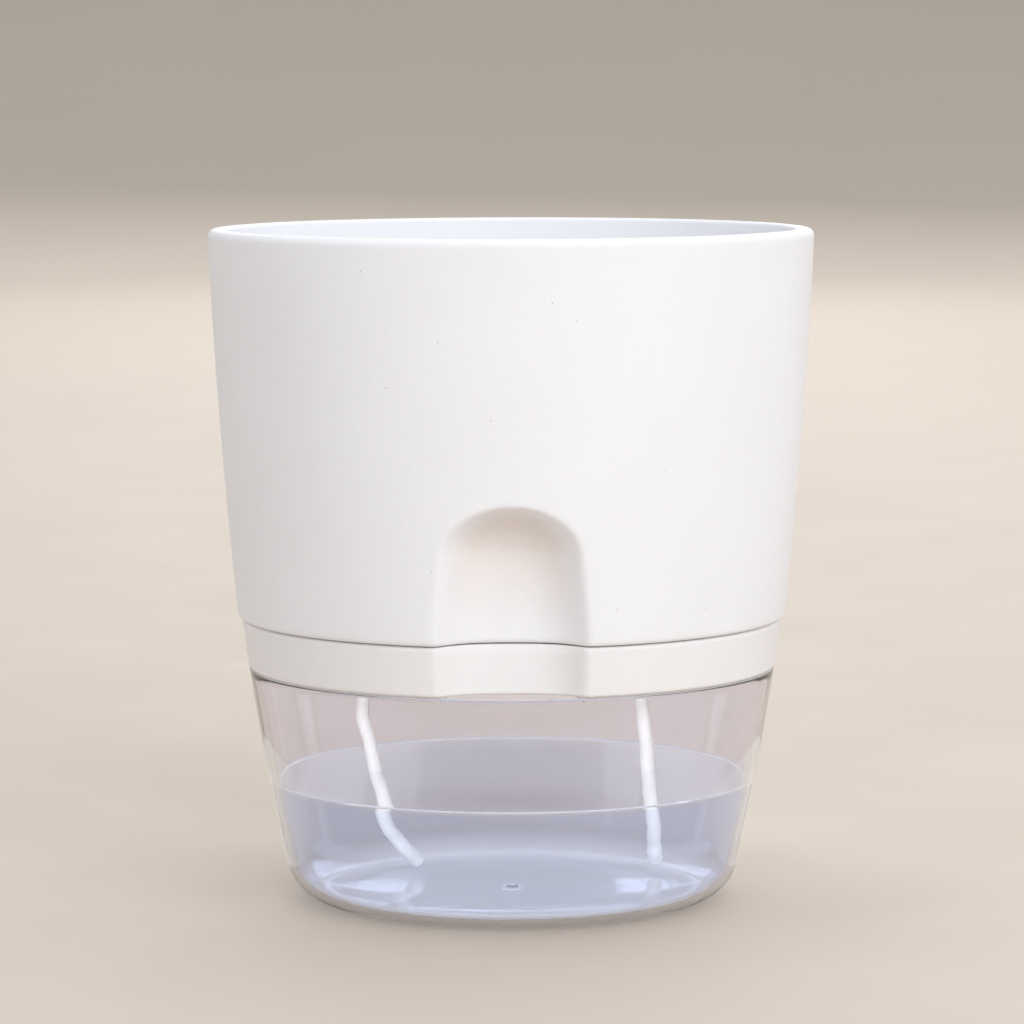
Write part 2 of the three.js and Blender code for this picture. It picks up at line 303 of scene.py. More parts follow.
def make_pot():
    heights = [
        *np.arange(SEAM_Z + 2.2, NICHE_SPRING_Z, 0.7),
        *np.arange(NICHE_SPRING_Z, NICHE_TOP_Z + 3, 0.3),
        *np.linspace(NICHE_TOP_Z + 4, TOP_Z - 3, 20),
    ]
    wall = [(pot_radius(z), z, 0, 0) for z in heights]
    inner_top, inner_base = (RIM_RADIUS - RIM_WIDTH, TOP_Z), (SEAM_RADIUS - POT_WALL, SEAM_Z + POT_WALL)
    inner_wall = [(r, z, 0, POT_WALL) for r, z in straight(inner_top, inner_base, 1.0)]
    foot = SPIGOT_RADIUS - SPIGOT_WALL
    foot_grow = SPIGOT_NICHE_GROW + SPIGOT_WALL
    rows = outline(
        [
            (1, POT_BASE_Z, 0, SPIGOT_NICHE_GROW),
            (20, POT_BASE_Z, 0, SPIGOT_NICHE_GROW),
            (40, POT_BASE_Z, 0, SPIGOT_NICHE_GROW),
            (SPIGOT_RADIUS - 0.9, POT_BASE_Z, 2, SPIGOT_NICHE_GROW),
            (SPIGOT_RADIUS, SEAM_Z, 0.5, SPIGOT_NICHE_GROW),
            (SEAM_RADIUS, SEAM_Z, 1.2, 0),
            *wall,
            (RIM_RADIUS, TOP_Z, 1.8, 0),
            (*inner_top, 0.9, POT_WALL),
            *inner_wall,
            (*inner_base, 2, POT_WALL),
            (foot, SEAM_Z + POT_WALL, 1, foot_grow),
            (foot - 0.9, POT_FLOOR_Z, 1.6, foot_grow),
            (40, POT_FLOOR_Z, 0, foot_grow),
            (20, POT_FLOOR_Z, 0, foot_grow),
            (1, POT_FLOOR_Z, 0, foot_grow),
        ]
    )
    angles = ring_angles()
    rings = niche_rings(rows, angles)
    first = next(i for i, row in enumerate(rows) if row[0] > SEAM_RADIUS - 2 and row[3] == 0)
    last = next(i for i, row in enumerate(rows) if row[1] > NICHE_TOP_Z + 15)
    fillet = range(first, first + 8)
    soften(rings, angles, (first, last), fillet)
    pot = turned_object("pot_moulding", rings, on_axis=True)
    top = POT_FLOOR_Z + SLEEVE_HEIGHT
    sleeves = [(side * WICK_HOLE_X, 0, SLEEVE_RADIUS, POT_BASE_Z + 1, top) for side in (-1, 1)]
    boolean(pot, pins("sleeves", sleeves, SLEEVE_SIDES), "UNION")
    holes = [(side * WICK_HOLE_X, 0, WICK_HOLE_RADIUS, POT_BASE_Z - 1, top + 1) for side in (-1, 1)]
    for ring, count, radius in DRAIN_RINGS:
        for k in range(count):
            angle = 2 * math.pi * (k + 0.5) / count
            place = (ring * math.cos(angle), ring * math.sin(angle))
            holes.append((*place, radius, POT_BASE_Z - 1, POT_FLOOR_Z + 1))
    boolean(pot, pins("holes", holes), "DIFFERENCE")
    pot.data.shade_smooth()
    pot.data.set_sharp_from_angle(angle=SHARP_ANGLE)
    return pot


def make_collar():
    angles = ring_angles()
    wall = straight((COLLAR_BASE_RADIUS, COLLAR_BASE_Z), (COLLAR_TOP_RADIUS, COLLAR_TOP_Z), 1.2)
    ledge_z = COLLAR_BASE_Z + 1.4
    tongue_inside = TONGUE_RADIUS - TONGUE_WIDTH
    tongue_z = COLLAR_BASE_Z - TONGUE_DROP
    rows = outline(
        [
            (COLLAR_BASE_RADIUS, COLLAR_BASE_Z, 0.8, 0),
            *[(r, z, 0, 0) for r, z in wall],
            (COLLAR_TOP_RADIUS, COLLAR_TOP_Z, 0.9, 0),
            (COLLAR_TOP_RADIUS - COLLAR_WALL, COLLAR_TOP_Z, 0.5, COLLAR_WALL),
            (COLLAR_BASE_RADIUS - COLLAR_WALL + 0.2, ledge_z, 0.3, COLLAR_WALL),
            (tongue_inside, ledge_z, 0.3, COLLAR_WALL + 0.1),
            (tongue_inside, tongue_z, 0.3, COLLAR_WALL + 0.05),
            (TONGUE_RADIUS, tongue_z, 0.3, COLLAR_WALL - 0.6),
            (TONGUE_RADIUS, COLLAR_BASE_Z, 0, COLLAR_WALL - 0.65),
        ]
    )
    rings = niche_rings(rows, angles)
    for i, (r, z, *_) in enumerate(rows):
        if z < COLLAR_BASE_Z - 0.01:  # the tongue shrinks away behind the niche
            drawn_in = r - np.hypot(rings[i, :, 0], rings[i, :, 1])
            share = np.clip(drawn_in / TONGUE_DROP, 0, 0.94)
            rings[i, :, 2] = z + (COLLAR_BASE_Z - z) * share
    top = next(i for i, row in enumerate(rows) if row[0] < COLLAR_TOP_RADIUS - 2 and row[3] > 0)
    soften(rings, angles, (0, top), range(top))
    return turned_object("collar_moulding", rings, on_axis=False)


def bowl(base_inset, rim_inset, corner_steps=28, wall_step=2.0):
    """Outline of the bowl, moved in by one inset at its base and another at its rim."""
    radius = BASE_CORNER_RADIUS - base_inset
    points = []
    for k in range(corner_steps + 1):
        angle = -math.pi / 2 + (math.pi / 2 - BASE_TAPER) * k / corner_steps
        r = BASE_FLAT_RADIUS + radius * math.cos(angle)
        points.append((r, BASE_CORNER_RADIUS + radius * math.sin(angle)))
    rim = (RESERVOIR_RADIUS - rim_inset, RESERVOIR_RIM_Z)
    return [*points, *straight(points[-1], rim, wall_step, RESERVOIR_BULGE), rim]


def round_rings(rows, columns):
    angles = np.linspace(0, 2 * math.pi, columns, endpoint=False)
    return np.array(
        [np.stack([r * np.sin(angles), -r * np.cos(angles), np.full(columns, z)], 1) for r, z, *_ in rows]
    )


CLEAR, WET, HEEL, LAND, FLOOR, LOWER = range(6)  # the reservoir's materials, in their order on it
BODY, SURFACE, EDGE = range(3)  # the water's


def make_reservoir():
    outer = bowl(0, 0)
    inner = bowl(RESERVOIR_FLOOR, RESERVOIR_WALL)[::-1]
    foot_top = FOOT_RING_RADIUS - 2 * FOOT_RING_RISE
    corners = [
        (1, FOOT_RING_RISE, 0, 0),
        (foot_top - GUARD_WIDTH, FOOT_RING_RISE, 0, 0),
        (foot_top, FOOT_RING_RISE, 0.3, 0),
        (FOOT_RING_RADIUS, 0, 0.5, 0),
        (FOOT_RING_RADIUS + GUARD_WIDTH, 0, 0, 0),
        (outer[0][0] - GUARD_WIDTH, 0, 0, 0),
        *[(r, z, 0, 0) for r, z in outer[:-1]],
        (*outer[-1], 0.15, 0),
        (*inner[0], 0.7, 0),
        *[(r, z, 0, 0) for r, z in inner[1:]],
        (inner[-1][0] - GUARD_WIDTH, RESERVOIR_FLOOR, 0, 0),
        (GATE_RADIUS + 1 + GUARD_WIDTH, RESERVOIR_FLOOR, 0, 0),
        (GATE_RADIUS + 1, RESERVOIR_FLOOR, 0, 0),
        (GATE_RADIUS, RESERVOIR_FLOOR - 0.25, 0.3, 0),
        (GATE_RADIUS - 0.5, RESERVOIR_FLOOR + 0.4, 0.3, 0),
        (0.3, RESERVOIR_FLOOR + 0.5, 0, 0),
    ]
    reservoir = turned_object("reservoir_moulding", round_rings(outline(corners), TURN_STEPS), on_axis=True)
    thin = (0.98, 0.98, 0.985)
    cool = (0.84, 0.87, 0.97)
    finish(
        reservoir,
        clear_plastic("clear_plastic", PLASTIC_IOR, (0.915, 0.905, 0.965), thin),
        clear_plastic("wet_plastic", PLASTIC_IOR / WATER_IOR, (0.71, 0.77, 0.95), thin),
        clear_plastic("heel_plastic", PLASTIC_IOR, (0.93, 0.95, 1), (0.78, 0.78, 0.8)),
        matt_land(),
        clear_plastic("floor_plastic", PLASTIC_IOR / WATER_IOR, (0.98, 0.985, 1), thin, 0.09),
        clear_plastic("lower_plastic", PLASTIC_IOR, cool, thin),
    )
    for face in reservoir.data.polygons:
        middle = face.center / MM
        inside = middle.z > RESERVOIR_FLOOR - 0.4 and face.normal.dot(Vector((*middle.xy, -20))) < 0
        if middle.z > RESERVOIR_RIM_Z - 0.1:
            face.material_index = LAND
        elif inside and middle.z < WATER_Z:
            face.material_index = FLOOR if face.normal.z > 0.9 else WET
        elif middle.z < HEEL_Z and middle.xy.length > FOOT_RING_RADIUS:
            face.material_index = HEEL
        elif middle.z < WATER_Z:
            face.material_index = LOWER
        else:
            face.material_index = CLEAR
    return reservoir


def make_water(crossings):
    """The water stands WATER_Z deep, and climbs a little up the wall and the wicks."""
    base = RESERVOIR_FLOOR + WATER_GAP
    whole = bowl(base, RESERVOIR_WALL + WATER_GAP, wall_step=1.0)
    inside = [point for point in whole if point[1] < WATER_Z - 0.1]
    edge = inside[-1][0] + 0.2
    rows = [(2.8, base), (inside[0][0] - 0.4, base), *inside, (edge, WATER_Z)]
    surface_start = len(rows)
    reach = 0.4
    for distance in (0.0, 0.12, 0.25, 0.4, 0.6, 0.85, 1.2, 1.7, 2.5, 4.5, 6.5):
        rows.append((edge - distance, WATER_Z + WALL_CLIMB * math.exp(-distance / reach)))
    rows += [(r, WATER_Z) for r in np.arange(edge - 8, 1.2, -0.7)]
    rings = round_rings(rows, TURN_STEPS)
    surface = rings[surface_start:]
    for x, y in crossings:
        away = np.hypot(surface[..., 0] - x, surface[..., 1] - y) - WICK_DIAMETER / 2
        surface[..., 2] += WICK_CLIMB * np.exp(-np.clip(away, 0, None) / 0.8)
    water = turned_object("water", rings, on_axis=True)
    finish(water, water_body(), water_surface(), water_edge())
    for face in water.data.polygons:
        height = face.center.z / MM - WATER_Z
        if height > 0.1 and face.center.xy.length / MM > edge - 0.5:
            face.material_index = EDGE
        elif height > -0.2 and face.normal.z > 0.3:
            face.material_index = SURFACE
        else:
            face.material_index = BODY
    return water


# Wicks. A wick's groove, unevenness and swelling are shares of its radius.

WICK_STEP = 0.3
WICK_SIDES = 30
WICK_END_ROUNDING = 1.2
PLIES = 3
PLY_PITCH = 11
PLY_GROOVE = 0.04
UNEVENNESS = 0.03
UNEVENNESS_STEP = 3
SWELLING = 0.16  # at the end that stands in the water, and dying out over SWELLING_REACH
SWELLING_REACH = 12
SWAY = 0.1  # how far a hanging wick wanders off its line, below SWAY_START
SWAY_START = 5
FUZZ = 0.012

LEFT_WICK = [
    (-23.4, 20, 4.6), (-26.3, 16, 8.3), (-28.8, 13, 11.7), (-31.2, 10, 15.9), (-33, 5.8, 24),
    (-34.9, 2.5, 34.3), (-36.4, 0.9, 41.5), (-37.2, 0, 47.5), (-36.6, 0, 52.5), (-34.9, 0, 57.5),
    (-34.5, 0, 61), (-34.5, 0, 65), (-34.7, 1.2, 69), (-35.2, 4, 71.9), (-36, 8, 72.6),
    (-36.8, 12.5, 70.2), (-37.2, 17, 67), (-36.6, 22, 65.6), (-34.6, 28, 65.5), (-30.5, 34, 65.5),
]
RIGHT_WICK = [
    (35.9, 21.5, 4.6), (35.7, 17, 9.6), (35.3, 13, 14.8), (34.7, 9, 21.6), (34, 5.2, 29),
    (33.4, 2, 38), (32.6, 0.6, 46), (32.7, 0, 52.5), (34.2, 0, 57.5),
    (34.5, 0, 61), (34.5, 0, 65), (34.8, -1.2, 69), (35.6, -4, 71.9), (36.8, -8, 72.6),
    (37.6, -12.5, 70.2), (37.4, -17, 67), (35.8, -21.8, 65.6), (32.2, -27, 65.5), (27, -31.2, 65.5),
]


def distance_along(line):
    """Distance of each of the line's points from its start."""
    return np.concatenate([[0], np.cumsum(np.linalg.norm(np.diff(line, axis=0), axis=1))])


def between(a, b, start, end, s):
    """The point at s on the line that passes a at start and b at end."""
    return ((end - s) * a + (s - start) * b) / (end - start)


def smooth_path(points, step):
    """Centripetal Catmull-Rom curve through the points, resampled evenly."""
    p = np.array(points, float)
    p = np.vstack([2 * p[0] - p[1], p, 2 * p[-1] - p[-2]])
    out = []
    for a, b, c, d in zip(p, p[1:], p[2:], p[3:]):
        t = np.cumsum([0, *[math.sqrt(np.linalg.norm(v - u)) for u, v in ((a, b), (b, c), (c, d))]])
        for s in np.linspace(t[1], t[2], 24, endpoint=False):
            ab = between(a, b, t[0], t[1], s)
            bc = between(b, c, t[1], t[2], s)
            cd = between(c, d, t[2], t[3], s)
            abc = between(ab, bc, t[0], t[2], s)
            bcd = between(bc, cd, t[1], t[3], s)
            out.append(between(abc, bcd, t[1], t[2], s))
    out.append(p[-2])
    out = np.array(out)
    along = distance_along(out)
    even = np.linspace(0, along[-1], round(along[-1] / step) + 1)
    return np.stack([np.interp(even, along, out[:, k]) for k in range(3)], 1)


def cord_object(name, line, seed, swells):
    """Soft cord of plies twisted together, with round ends. line runs through its middle. Where swells is true,
    the cord hangs: it wanders off the line a little, and its far end is swollen with water."""
    noise = np.random.default_rng(seed)
    radius = WICK_DIAMETER / 2
    tangent = np.gradient(line, axis=0)
    tangent /= np.linalg.norm(tangent, axis=1)[:, None]
    normal = np.cross(tangent[0], (0.3, 1, 0.1))
    along = distance_along(line)
    total = along[-1]
    around = np.linspace(0, 2 * math.pi, WICK_SIDES, endpoint=False)
    knots = np.arange(0, total + 2 * UNEVENNESS_STEP, UNEVENNESS_STEP)
    wobble, sway, swing = (np.interp(along, knots, noise.normal(0, 1, len(knots))) for _ in range(3))
    rings = []
    for i, centre in enumerate(line):
        normal -= tangent[i] * normal.dot(tangent[i])
        normal /= np.linalg.norm(normal)
        across = np.cross(tangent[i], normal)
        turn = PLIES * (around - 2 * math.pi * along[i] / PLY_PITCH) / 2
        ply = 1 - PLY_GROOVE + PLY_GROOVE * np.abs(np.cos(turn)) ** 0.7
        from_end = min(along[i], total - along[i])
        cap = math.sqrt(max(0.0, 1 - (1 - min(1.0, from_end / WICK_END_ROUNDING + 0.06)) ** 2))
        swollen = 0
        if swells:
            swollen = SWELLING * math.exp((along[i] - total) / SWELLING_REACH)
            loose = SWAY * min(1, max(0, along[i] - SWAY_START) / SWAY_START)
            centre = centre + loose * (sway[i] * normal + swing[i] * across)
        size = radius * ply * (1 + UNEVENNESS * wobble[i] + swollen) * cap
        outward = np.cos(around)[:, None] * normal + np.sin(around)[:, None] * across
        rings.append(centre + size[:, None] * outward)
    rings = np.array(rings)
    fuzz = noise.normal(0, FUZZ, rings.shape)
    rings[2:-2] += fuzz[2:-2]
    rows = len(rings)
    points = rings.reshape(-1, 3).tolist()
    faces = grid_faces(rows, WICK_SIDES, False)
    for row, centre in ((0, line[0]), (rows - 1, line[-1])):
        middle = len(points)
        points.append(list(centre))
        for k in range(WICK_SIDES):
            a, b = row * WICK_SIDES + k, row * WICK_SIDES + (k + 1) % WICK_SIDES
            faces.append((b, a, middle) if row == 0 else (a, b, middle))
    return mesh_object(name, points, faces)


def make_wick(side, route, seed):
    """Two stretches that meet inside the pot's hole: one hangs in the water, one lies in the pot."""
    node = f"wick_{side}"
    path = smooth_path(route, WICK_STEP)
    through = (POT_BASE_Z + POT_FLOOR_Z) / 2
    split = next(i for i, p in enumerate(path) if p[2] > through)
    drop_line, tail_line = path[: split + 2][::-1], path[split:]
    made = []
    for part, line, lay in (("drop", drop_line, "hanging"), ("tail", tail_line, "loose")):
        cord = cord_object(f"{node}_{part}", line, seed, swells=part == "drop")
        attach(cord, "pot")
        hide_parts(node)
        made.append(cord)
    at_surface = path[np.argmin(np.abs(path[:, 2] - WATER_Z))]
    return made, (at_surface[0], at_surface[1])


# Materials

class Nodes:
    """Short names for building a material's node tree."""

    def __init__(self, name):
        self.material = bpy.data.materials.new(name)
        self.material.use_nodes = True
        self.tree = self.material.node_tree
        self.shader = self.tree.nodes["Principled BSDF"]
        self.output = self.tree.nodes["Material Output"]
        self.place = self.add("TexCoord").outputs["Object"]

    def add(self, kind, **settings):
        node = self.tree.nodes.new("ShaderNode" + kind)
        for key, value in settings.items():
            setattr(node, key, value)
        return node

    def join(self, source, target):
        self.tree.links.new(source, target)

    def stretched(self, scale):
        mapping = self.add("Mapping")
        mapping.inputs["Scale"].default_value = scale
        self.join(self.place, mapping.inputs["Vector"])
        return mapping.outputs["Vector"]

    def coordinate(self, axis):
        split = self.add("SeparateXYZ")
        self.join(self.place, split.inputs["Vector"])
        return split.outputs[axis]

    def axis_distance(self):
        """Distance from the planter's upright axis."""
        length = self.add("VectorMath", operation="LENGTH")
        self.join(self.stretched((1, 1, 0)), length.inputs[0])
        return length.outputs["Value"]

    def noise(self, size_mm, detail=2.0, vector=None, roughness=0.5):
        """Noise whose features are about size_mm across."""
        node = self.add("TexNoise")
        node.inputs["Scale"].default_value = 1 / (size_mm * MM)
        node.inputs["Detail"].default_value = detail
        node.inputs["Roughness"].default_value = roughness
        self.join(vector or self.place, node.inputs["Vector"])
        return node.outputs["Fac"]

    def spread(self, value, low, high, new_low=0.0, new_high=1.0):
        node = self.add("MapRange")
        for key, number in (("From Min", low), ("From Max", high), ("To Min", new_low), ("To Max", new_high)):
            node.inputs[key].default_value = number
        self.join(value, node.inputs["Value"])
        return node.outputs["Result"]

    def maths(self, operation, a, b):
        node = self.add("Math", operation=operation)
        for socket, value in zip(node.inputs, (a, b)):
            if isinstance(value, (int, float)):
                socket.default_value = value
            else:
                self.join(value, socket)
        return node.outputs[0]

    def mix(self, factor, a, b):
        node = self.add("Mix", data_type="RGBA")
        self.join(factor, node.inputs["Factor"])
        for socket, value in ((node.inputs[6], a), (node.inputs[7], b)):
            if isinstance(value, tuple):
                socket.default_value = (*value, 1)
            else:
                self.join(value, socket)
        return node.outputs[2]

    def bumps(self, *layers):
        """Layers of height socket and depth in millimetres, from coarse to fine."""
        normal = None
        for height, depth_mm in layers:
            bump = self.add("Bump")
            bump.inputs["Strength"].default_value = 1
            bump.inputs["Distance"].default_value = depth_mm * MM
            self.join(height, bump.inputs["Height"])
            if normal:
                self.join(normal, bump.inputs["Normal"])
            normal = bump.outputs["Normal"]
        self.join(normal, self.shader.inputs["Normal"])
        return normal


def specks(nodes, cell_mm, radius_mm, share):
    """Mask of sparse round specks: some of the cells of a Voronoi texture hold one."""
    cells = nodes.add("TexVoronoi", feature="F1")
    cells.inputs["Scale"].default_value = 1 / (cell_mm * MM)
    nodes.join(nodes.place, cells.inputs["Vector"])
    edge = radius_mm / cell_mm
    dot = nodes.spread(cells.outputs["Distance"], edge, edge * 0.5)
    split = nodes.add("SeparateColor")
    nodes.join(cells.outputs["Color"], split.inputs["Color"])
    chosen = nodes.maths("LESS_THAN", split.outputs["Red"], share)
    return nodes.maths("MULTIPLY", dot, chosen)


def moulded_plastic(name, light, dark, speck):
    nodes = Nodes(name)
    cloud = nodes.spread(nodes.noise(38, 3), 0.35, 0.65)
    base = nodes.mix(cloud, light, dark)
    grain = nodes.spread(nodes.noise(0.45, 2), 0.3, 0.7)
    speckled = nodes.mix(nodes.spread(grain, 0, 1, 0.0, 0.35), base, tuple(0.93 * c for c in light))
    marks = nodes.maths("MULTIPLY", specks(nodes, 6.5, 0.26, 0.8), 0.5)
    # painted shade: darker and creamier in the arch of the recess, where light reaches it only from its own
    # walls
    height = nodes.coordinate("Z")
    deep = nodes.spread(nodes.axis_distance(), 66.5 * MM, 60 * MM)
    high = nodes.spread(height, 74 * MM, 97 * MM)
    in_front = nodes.maths("LESS_THAN", nodes.coordinate("Y"), -NICHE_BACK * 0.9 * MM)
    below_top = nodes.maths("LESS_THAN", height, NICHE_TOP_Z * MM)
    arch = deep
    for part in (high, in_front, below_top):
        arch = nodes.maths("MULTIPLY", arch, part)
    # the painted shade colour: the plastic's own colour darkened and warmed
    arch_painted_shade = nodes.mix(arch, speckled, tuple(c * k for c, k in zip(light, (0.9, 0.84, 0.775))))
    coloured = nodes.mix(marks, arch_painted_shade, speck)
    nodes.join(coloured, nodes.shader.inputs["Base Color"])
    nodes.join(nodes.spread(nodes.noise(3, 3), 0.3, 0.7, 0.46, 0.58), nodes.shader.inputs["Roughness"])
    nodes.bumps((nodes.noise(1.6, 2), 0.035), (nodes.noise(0.4, 2), 0.03))
    nodes.shader.inputs["Subsurface Weight"].default_value = 0.12
    nodes.shader.inputs["Subsurface Radius"].default_value = (0.004, 0.003, 0.0025)
    nodes.shader.inputs["Subsurface Scale"].default_value = 0.5
    nodes.shader.inputs["Specular IOR Level"].default_value = 0.4
    return nodes.material


def lets_light_in(nodes, tint):
    """Light for other surfaces passes straight through, tinted, as it does through thin plastic."""
    clear = nodes.add("BsdfTransparent")
    clear.inputs["Color"].default_value = (*tint, 1)
    rays = nodes.add("LightPath")
    mixed = nodes.add("MixShader")
    passing = nodes.maths("MAXIMUM", rays.outputs["Is Shadow Ray"], rays.outputs["Is Diffuse Ray"])
    nodes.join(passing, mixed.inputs["Fac"])
    nodes.join(nodes.shader.outputs["BSDF"], mixed.inputs[1])
    nodes.join(clear.outputs["BSDF"], mixed.inputs[2])
    nodes.join(mixed.outputs["Shader"], nodes.output.inputs["Surface"])


def clear_plastic(name, ior, colour, shade, haziness=0.03):
    nodes = Nodes(name)
    shader = nodes.shader.inputs
    shader["Base Color"].default_value = (*colour, 1)
    shader["Transmission Weight"].default_value = 1
    shader["IOR"].default_value = ior
    haze = nodes.noise(14, 2)
    nodes.join(nodes.spread(haze, 0.35, 0.7, haziness / 3, haziness), shader["Roughness"])
    streaks = nodes.noise(5, 1, nodes.stretched((1, 1, 0.12)))
    nodes.bumps((streaks, 0.015))
    lets_light_in(nodes, shade)
    return nodes.material


def matt_land():
    """The rim's top, ground flat: light inside the wall ends there instead of going round and round."""
    nodes = Nodes("matt_land")
    shader = nodes.shader.inputs
    tint = nodes.mix(nodes.spread(nodes.noise(3, 2), 0.3, 0.7), (0.95, 0.97, 1.0), (0.88, 0.9, 0.94))
    nodes.join(tint, shader["Base Color"])
    shader["Transmission Weight"].default_value = 0.35
    shader["Roughness"].default_value = 0.35
    shader["IOR"].default_value = PLASTIC_IOR
    lets_light_in(nodes, (0.98, 0.98, 0.985))
    return nodes.material


def water_body():
    """Sides and bottom of the water: they lie against the plastic, so they only lay a blue veil on it. The veil
    is painted light: thicker and paler towards the bottom, where the light that the water gathers falls."""
    nodes = Nodes("water_body")
    shader = nodes.shader.inputs
    tint = nodes.mix(nodes.spread(nodes.noise(30, 1), 0.3, 0.7), (0.93, 0.94, 0.97), (0.89, 0.91, 0.95))
    nodes.join(tint, shader["Base Color"])
    # painted light: the pale veil thickens towards the bottom
    nodes.join(nodes.spread(nodes.coordinate("Z"), 2.5 * MM, 8 * MM, 0.28, 0.01), shader["Alpha"])
    shader["Roughness"].default_value = 0.5
    shader["Specular IOR Level"].default_value = 0
    return nodes.material


def water_surface():
    nodes = Nodes("water_surface")
    shader = nodes.shader.inputs
    tint = nodes.mix(nodes.spread(nodes.noise(30, 1), 0.3, 0.7), (0.81, 0.84, 0.92), (0.78, 0.815, 0.9))
    # painted light: the surface is tinted less towards the wall, so it reads lighter near its edge and darker
    # in the middle
    painted_edge_light = nodes.spread(nodes.axis_distance(), 34 * MM, 60 * MM)
    nodes.join(nodes.mix(painted_edge_light, tint, (0.97, 1, 1)), shader["Base Color"])
    shader["Transmission Weight"].default_value = 1
    shader["IOR"].default_value = WATER_IOR
    shader["Roughness"].default_value = 0
    shader["Coat Weight"].default_value = 0.4
    shader["Coat IOR"].default_value = 1.33
    shader["Coat Roughness"].default_value = 0.22
    nodes.bumps((nodes.noise(16, 1), 0.02))
    lets_light_in(nodes, (0.97, 0.975, 0.99))
    return nodes.material


def water_edge():
    """The thin bright line where the water clings to the wall and the wicks: a painted highlight, pale and
    partly matt so that it stays bright.
    """
    nodes = Nodes("water_edge")
    shader = nodes.shader.inputs
    painted_glint = nodes.mix(nodes.spread(nodes.noise(4, 2), 0.3, 0.7), (0.85, 0.91, 1.0), (0.78, 0.85, 0.96))
    nodes.join(painted_glint, shader["Base Color"])
    shader["Transmission Weight"].default_value = 0.7
    shader["IOR"].default_value = 1.2
    shader["Roughness"].default_value = 0.1
    lets_light_in(nodes, (0.97, 0.975, 0.99))
    return nodes.material


def cotton():
    nodes = Nodes("cotton")
    tuft = nodes.noise(0.5, 3, roughness=0.7)
    fibre = nodes.noise(0.22, 3, nodes.stretched((1, 1, 0.3)), 0.7)
    shade = nodes.spread(nodes.noise(2.5, 3), 0.3, 0.7)
    colour = nodes.mix(shade, (0.97, 0.965, 0.93), (0.93, 0.925, 0.89))
    fibrous = nodes.mix(nodes.spread(fibre, 0.3, 0.5), (0.86, 0.855, 0.825), colour)
    # painted shade: the hanging wick turns darker and warmer towards the pot's underside, in the pot's shadow;
    # the tail inside the pot is left out
    height = nodes.coordinate("Z")
    shaded = nodes.spread(height, 43 * MM, (POT_BASE_Z - 3) * MM, 0, 0.95)
    painted_pot_shade = nodes.maths("MULTIPLY", shaded, nodes.maths("LESS_THAN", height, POT_BASE_Z * MM))
    nodes.join(nodes.mix(painted_pot_shade, fibrous, (0.47, 0.4, 0.35)), nodes.shader.inputs["Base Color"])
    nodes.join(nodes.spread(tuft, 0.3, 0.7, 0.85, 1.0), nodes.shader.inputs["Roughness"])
    nodes.bumps((tuft, 0.12), (fibre, 0.1))
    nodes.shader.inputs["Sheen Weight"].default_value = 0.3
    nodes.shader.inputs["Sheen Roughness"].default_value = 0.5
    nodes.shader.inputs["Subsurface Weight"].default_value = 0.3
    nodes.shader.inputs["Subsurface Radius"].default_value = (0.002, 0.002, 0.0018)
    nodes.shader.inputs["Subsurface Scale"].default_value = 0.5
    return nodes.material


def floor_paint():
    nodes = Nodes("floor_paint")
    nodes.join(
        nodes.mix(nodes.spread(nodes.noise(300, 3), 0.3, 0.7), (0.67, 0.57, 0.48), (0.655, 0.557, 0.469)),
        nodes.shader.inputs["Base Color"],
    )
    nodes.join(nodes.spread(nodes.noise(60, 2), 0.3, 0.7, 0.6, 0.75), nodes.shader.inputs["Roughness"])
    return nodes.material


def finish(piece, *materials):
    piece.data.materials.clear()
    for material in materials:
        piece.data.materials.append(material)


# Studio

LAMP_COLOUR = (0.94, 0.97, 1)
SKY_COLOUR = (0.9, 0.95, 1)
SKY_STRENGTH = 0.66


def add_backdrop():
    """One sheet: a flat floor that sweeps up into a wall behind the planter."""
    half, back, bend, top = 9000, 9000, 8500, 12000
    bend_steps = 24
    profile = [(-half, 0), (back - bend, 0)]
    for k in range(1, bend_steps + 1):
        angle = math.pi / 2 * k / bend_steps
        profile.append((back - bend + bend * math.sin(angle), bend - bend * math.cos(angle)))
    profile.append((back, top))
    points = [(x, y, z) for y, z in profile for x in (-half, half)]
    faces = [(2 * k, 2 * k + 1, 2 * k + 3, 2 * k + 2) for k in range(len(profile) - 1)]
    sheet = mesh_object("studio_backdrop", points, faces)
    finish(sheet, floor_paint())


def add_lamp(
    name, place, target, width, height, power,
    shape="RECTANGLE", mirrored=True, seen_through=True, only=(), shadows=True,
):
    """An area lamp, in metres and watts. only lists the pieces that it lights, if it doesn't light them all."""
    lamp = bpy.data.lights.new(name, "AREA")
    lamp.shape = shape
    lamp.size, lamp.size_y = width, height
    lamp.energy = power
    lamp.color = LAMP_COLOUR
    made = bpy.data.objects.new(name, lamp)
    made.visible_camera = False
    made.visible_glossy = mirrored
    made.visible_transmission = mirrored and seen_through
    if only:
        lit = bpy.data.collections.new(name)
        for piece in only:
            lit.objects.link(piece)
        made.light_linking.receiver_collection = lit
        lamp.use_shadow = shadows
    made.location = place
    made.rotation_euler = (Vector(target) - Vector(place)).to_track_quat("-Z", "Y").to_euler()
    bpy.context.scene.collection.objects.link(made)


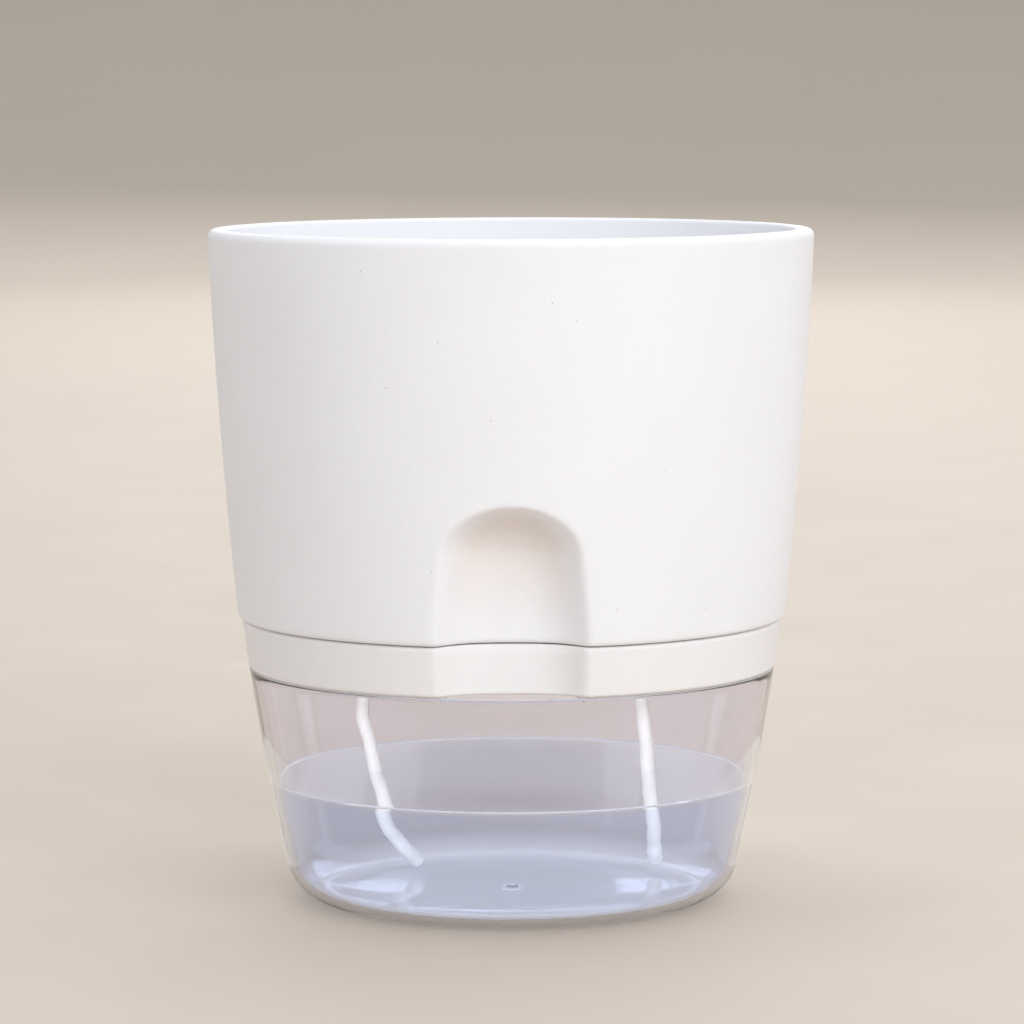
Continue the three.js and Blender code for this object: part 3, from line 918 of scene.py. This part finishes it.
def light_studio(wicks, reservoir, water):
    """The lamps with only stand in for light that clear plastic and water gather, which isn't traced."""
    middle = (0, 0, 0.09)
    low = (0, 0, 0.03)
    add_lamp("key", (0.72, -1.45, 0.85), middle, 1.5, 1.2, 16, mirrored=False)
    add_lamp("fill", (-1.15, -0.95, 0.5), middle, 1, 0.8, 0.9, mirrored=False)
    add_lamp("overhead", (0.1, 0.3, 1.6), middle, 1.3, 1.3, 7)
    add_lamp("wick_light", (-0.35, -1.45, 0.2), low, 0.9, 0.3, 17, mirrored=False, only=wicks)
    add_lamp("wick_back_light", (0.35, 1.45, 0.2), low, 0.9, 0.3, 7, mirrored=False, only=wicks)
    add_lamp("water_light", (0, 0, 0.8), low, 0.3, 0.3, 7, mirrored=False, only=[water], shadows=False)
    add_lamp("back", (0.2, 1.6, 0.72), low, 1.4, 0.5, 6)
    for side in (-1, 1):
        add_lamp("side_strip", (0.98 * side, 0.77, 0.36), low, 0.5, 0.6, 1)
        add_lamp("water_glint", (0.17 * side, 1.6, 0.285), low, 0.2, 0.14, 0.14, shape="ELLIPSE")
        # the sunlit ground beside the planter, which brightens the edges of the plastic
        add_lamp(
            "ground_glow", (0.1 * side, 0.09, 0.001), (0.1 * side, 0.09, 1), 0.09, 0.22, 0.014,
            shape="ELLIPSE", seen_through=False, only=[reservoir],
        )
    world = bpy.data.worlds.new("studio")
    bpy.context.scene.world = world
    world.use_nodes = True
    background = world.node_tree.nodes["Background"].inputs
    background["Color"].default_value = (*SKY_COLOUR, 1)
    background["Strength"].default_value = SKY_STRENGTH


# Assembly

add_camera()
bpy.context.scene.view_settings.view_transform = "Standard"

left, left_crossing = make_wick("left", LEFT_WICK, 1)
right, right_crossing = make_wick("right", RIGHT_WICK, 2)
cotton_material = cotton()
for stretch in left + right:
    finish(stretch, cotton_material)

pot = make_pot()
finish(pot, moulded_plastic("pot_plastic", (0.925, 0.917, 0.94), (0.905, 0.893, 0.91), (0.35, 0.33, 0.3)))
collar = make_collar()
reservoir = make_reservoir()
finish(collar, moulded_plastic("collar_plastic", (0.92, 0.897, 0.9), (0.9, 0.872, 0.87), (0.38, 0.35, 0.31)))
for piece, body, node, slot in (
    (pot, "pot", "planting_pot", "pot_plastic"),
    (collar, "collar", "support_collar", "collar_plastic"),
    (reservoir, "reservoir", "water_reservoir", "clear_plastic"),
):
    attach(piece, body)
    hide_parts(node)

contents = make_water([left_crossing, right_crossing])
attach(contents, "reservoir")

add_backdrop()
light_studio(left + right, reservoir, contents)
